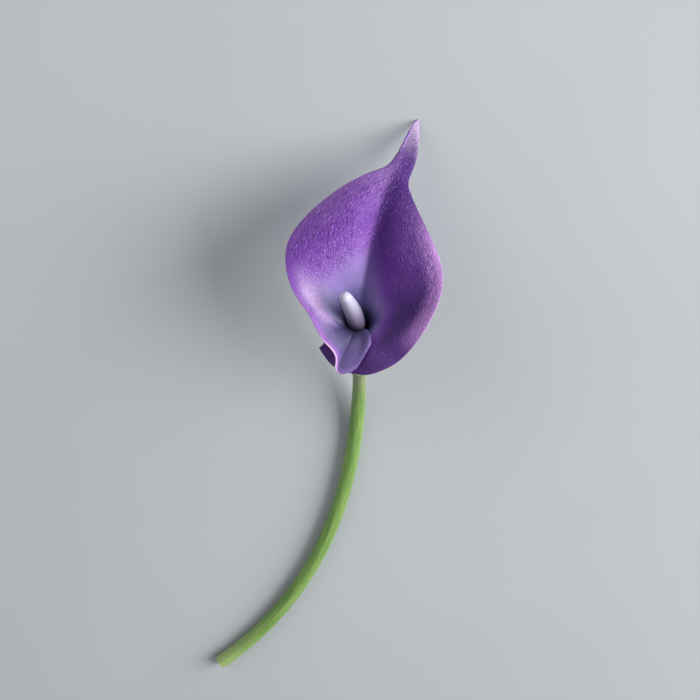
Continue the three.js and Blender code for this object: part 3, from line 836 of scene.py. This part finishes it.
outsideFinish = {
    "shader": {"Subsurface Weight": 0.12, "Subsurface Scale": 0.0012, "Subsurface Radius": (1.0, 0.45, 1.0),
               "IOR": 1.45, "Specular IOR Level": 0.4},
    "out": [(0.0, srgb(140, 150, 104)), (0.05, srgb(120, 122, 108)), (0.16, srgb(94, 84, 122)),
            (0.35, srgb(82, 58, 132)), (0.62, srgb(86, 48, 142)), (1.0, srgb(110, 66, 166))],
    "wayOut": 78.0,  # millimetres from the foot over which the colours run
    "wander": 0.16,
    "vein": srgb(62, 30, 112), "veinShare": 0.4, "veinHeight": 1.3, "veinScale": (26.0, 0.9, 1.0),
    "veinSpan": (0.42, 0.62),
    "curl": srgb(120, 104, 140), "curlShare": 0.8, "lip": srgb(222, 192, 220),
    "ridgeSize": 1.3 * mm, "ridged": (0.45, 0.8, 0.15, 0.8), "grain": 0.14,
    "relief": 0.12 * mm, "strength": 1.0, "roughness": (0.4, 0.55),
}


def finishOutside(material):
    f = outsideFinish
    n, shader = startMaterial(material, f["shader"])
    outShare = n.math("DIVIDE", n.attribute("fromFoot"), f["wayOut"])
    puckers = skin(n, n.objectPlace(), f["ridgeSize"], n.span(outShare, *f["ridged"]), f["grain"])
    colour = n.ramp(wandering(n, outShare, puckers, f["wander"]), f["out"])
    # long veins that run from the foot out over the limb
    plan = n.add("ShaderNodeUVMap", uv_map="sheetPlan").outputs["UV"]
    drawnOut = n.add("ShaderNodeMapping", {"Vector": plan, "Scale": f["veinScale"]}).outputs[0]
    streaks = n.add("ShaderNodeTexNoise", {"Vector": drawnOut, "Scale": 1.0, "Detail": 3.0,
                                           "Roughness": 0.55}, noise_dimensions="2D").outputs["Fac"]
    colour = n.mix(n.times(n.span(streaks, *f["veinSpan"]), f["veinShare"]), colour, f["vein"])
    colour = n.mix(n.times(n.attribute("curl"), f["curlShare"]), colour, f["curl"])
    colour = n.mix(n.attribute("lip"), colour, f["lip"])
    height = n.math("ADD", puckers["Height"], n.times(streaks, f["veinHeight"]))
    dress(n, shader, f, colour, height, mottled(n, puckers, *f["roughness"]))


spadixFinish = {
    "shader": {"Subsurface Weight": 0.2, "Subsurface Scale": 0.0012, "Subsurface Radius": (1.0, 0.8, 0.9),
               "IOR": 1.45},
    # pale at the tip and mauve towards the foot, the mauve darkened with painted shade from deep in the
    # funnel
    "pale": srgb(190, 187, 206), "shadedMauve": srgb(92, 82, 106),
    "shadedMauveBelow": (0.062, 0.045),  # metres above the floor
    # painted shade in the hollows between the florets
    "hollowShade": srgb(128, 116, 148), "hollowShadeSpan": (0.3, 0.8, 0.0, 0.25),
    "ridgeSize": 0.5 * mm, "ridges": 0.5, "grain": 0.5, "relief": 0.05 * mm, "strength": 0.6,
    "roughness": (0.42, 0.6),
}


def finishSpadix(material):
    f = spadixFinish
    n, shader = startMaterial(material, f["shader"])
    place = n.objectPlace()
    height = n.add("ShaderNodeSeparateXYZ", {"Vector": place}).outputs["Z"]
    floretScale = 1 / (spadix["floretSize"] * mm)
    florets = n.add("ShaderNodeTexVoronoi", {"Vector": place, "Scale": floretScale}).outputs["Distance"]
    puckers = skin(n, place, f["ridgeSize"], f["ridges"], f["grain"])
    # paler at the tip, mauve with painted shade lower down in the funnel
    colour = n.mix(n.span(height, *f["shadedMauveBelow"]), f["pale"], f["shadedMauve"])
    # painted shade in the hollows between the florets
    colour = n.mix(n.span(florets, *f["hollowShadeSpan"]), colour, f["hollowShade"])
    dress(n, shader, f, colour, puckers["Height"], mottled(n, puckers, *f["roughness"]))


stalkFinish = {
    "shader": {"Subsurface Weight": 0.08, "Subsurface Scale": 0.001, "IOR": 1.45},
    "light": srgb(124, 154, 82), "dark": srgb(96, 132, 64),
    "streakScale": 1100.0, "streakSpan": (0.36, 0.66),
    # the paler ends, in metres from the seat
    "neck": srgb(132, 140, 104), "neckSpan": (0.03, 0.002),
    "base": srgb(166, 182, 122), "baseSpan": (0.17, 0.208, 0.0, 0.5),
    "ridgeSize": 0.55 * mm, "ridges": 0.22, "grain": 0.3, "relief": 0.06 * mm, "strength": 0.7,
    "roughness": (0.34, 0.5),
}


def finishStalk(material):
    f = stalkFinish
    n, shader = startMaterial(material, f["shader"])
    place, down = n.attribute("grainPlace", "Vector"), n.attribute("fromSeat")
    puckers = skin(n, place, f["ridgeSize"], f["ridges"], f["grain"])
    streaks = n.add("ShaderNodeTexNoise", {"Vector": place, "Scale": f["streakScale"], "Detail": 3.0,
                                           "Roughness": 0.6}).outputs["Fac"]
    colour = n.mix(n.span(streaks, *f["streakSpan"]), f["dark"], f["light"])
    colour = n.mix(n.span(down, *f["neckSpan"]), colour, f["neck"])
    colour = n.mix(n.span(down, *f["baseSpan"]), colour, f["base"])
    dress(n, shader, f, colour, puckers["Height"], mottled(n, puckers, *f["roughness"]))


pithFinish = {
    "shader": {"Roughness": 0.55, "Subsurface Weight": 0.2, "Subsurface Scale": 0.001},
    "pore": srgb(120, 140, 84), "pale": srgb(204, 212, 160), "poreSize": 0.5 * mm, "poreSpan": (0.0, 0.25),
    "relief": 0.1 * mm, "strength": 0.8,
}


def finishPith(material):
    f = pithFinish
    n, shader = startMaterial(material, f["shader"])
    cells = n.add("ShaderNodeTexVoronoi", {"Vector": n.objectPlace(), "Scale": 1 / f["poreSize"]})
    pores = cells.outputs["Distance"]
    dress(n, shader, f, n.mix(n.span(pores, *f["poreSpan"]), f["pore"], f["pale"]), pores)


for side, finish in (("spatheInside", finishInside), ("spatheOutside", finishOutside)):
    spatheSheet.data.materials.append(bpy.data.materials.new(side))
    finish(spatheSheet.data.materials[-1])
spadixFinger.data.materials.append(bpy.data.materials.new("spadixFlorets"))
finishSpadix(spadixFinger.data.materials[0])
finishStalk(stalkGreen.data.materials[0])
finishPith(stalkGreen.data.materials[1])
print("finishes laid on")

# the floor, the light and the camera; lamps stand right, up and out from the seat, as the view sees it
studio = {
    "look": 27.0,  # degrees that the view leans back from straight down
    "distance": 600 * mm, "sideStep": -4.2 * mm, "rise": -11.8 * mm, "lens": 73.47,
    "floorSize": 12.0, "floor": srgb(165, 169, 172), "floorPale": srgb(196, 198, 200), "floorClouds": 6.0,
    "floorMottle": (0.3, 0.7, 0.0, 0.1),
    "sky": (0.86, 0.9, 0.96, 1.0), "skyStrength": 0.31,
    "key": {"right": 1.62, "up": -0.1, "out": 1.02, "size": 1.6, "power": 78.0},
    "fill": {"right": -1.2, "up": 0.6, "out": 1.6, "size": 1.6, "power": 14.0},
}
seat = Vector(bloomPlace["seat"]) * mm
lean = math.radians(studio["look"])
viewRight = Vector((1, 0, 0))
viewUp = Vector((0, math.cos(lean), -math.sin(lean)))
viewOut = Vector((0, math.sin(lean), math.cos(lean)))

bpy.ops.mesh.primitive_plane_add(size=studio["floorSize"], location=(0, 0, 0))
floor = bpy.context.object
floor.name = "studioFloor"
floor.data.materials.append(bpy.data.materials.new("floorPaint"))
n, shader = startMaterial(floor.data.materials[0], {"Roughness": 0.7})
clouds = n.add("ShaderNodeTexNoise", {"Vector": n.objectPlace(), "Scale": studio["floorClouds"]})
mottle = n.span(clouds.outputs["Fac"], *studio["floorMottle"])
paint = n.mix(mottle, studio["floor"], studio["floorPale"])
n.give(shader.inputs["Base Color"], paint)

for name in ("key", "fill"):
    lamp = studio[name]
    place = seat + viewRight * lamp["right"] + viewUp * lamp["up"] + viewOut * lamp["out"]
    bpy.ops.object.light_add(type="AREA", location=place)
    light = bpy.context.object
    light.name = name + "Light"
    light.data.size = lamp["size"]
    light.data.energy = lamp["power"]
    light.rotation_euler = (seat - place).to_track_quat("-Z", "Y").to_euler()

world = bpy.data.worlds.new("studioSky")
bpy.context.scene.world = world
world.use_nodes = True
sky = world.node_tree.nodes["Background"]
sky.inputs["Color"].default_value = studio["sky"]
sky.inputs["Strength"].default_value = studio["skyStrength"]

eye = seat + viewRight * studio["sideStep"] + viewUp * studio["rise"] + viewOut * studio["distance"]
bpy.ops.object.camera_add(location=eye, rotation=(-lean, 0, 0))
camera = bpy.context.object
camera.data.lens = studio["lens"]
camera.data.clip_start = 0.05
bpy.context.scene.camera = camera
bpy.context.scene.view_settings.view_transform = "Standard"
print("floor, lights and camera set")
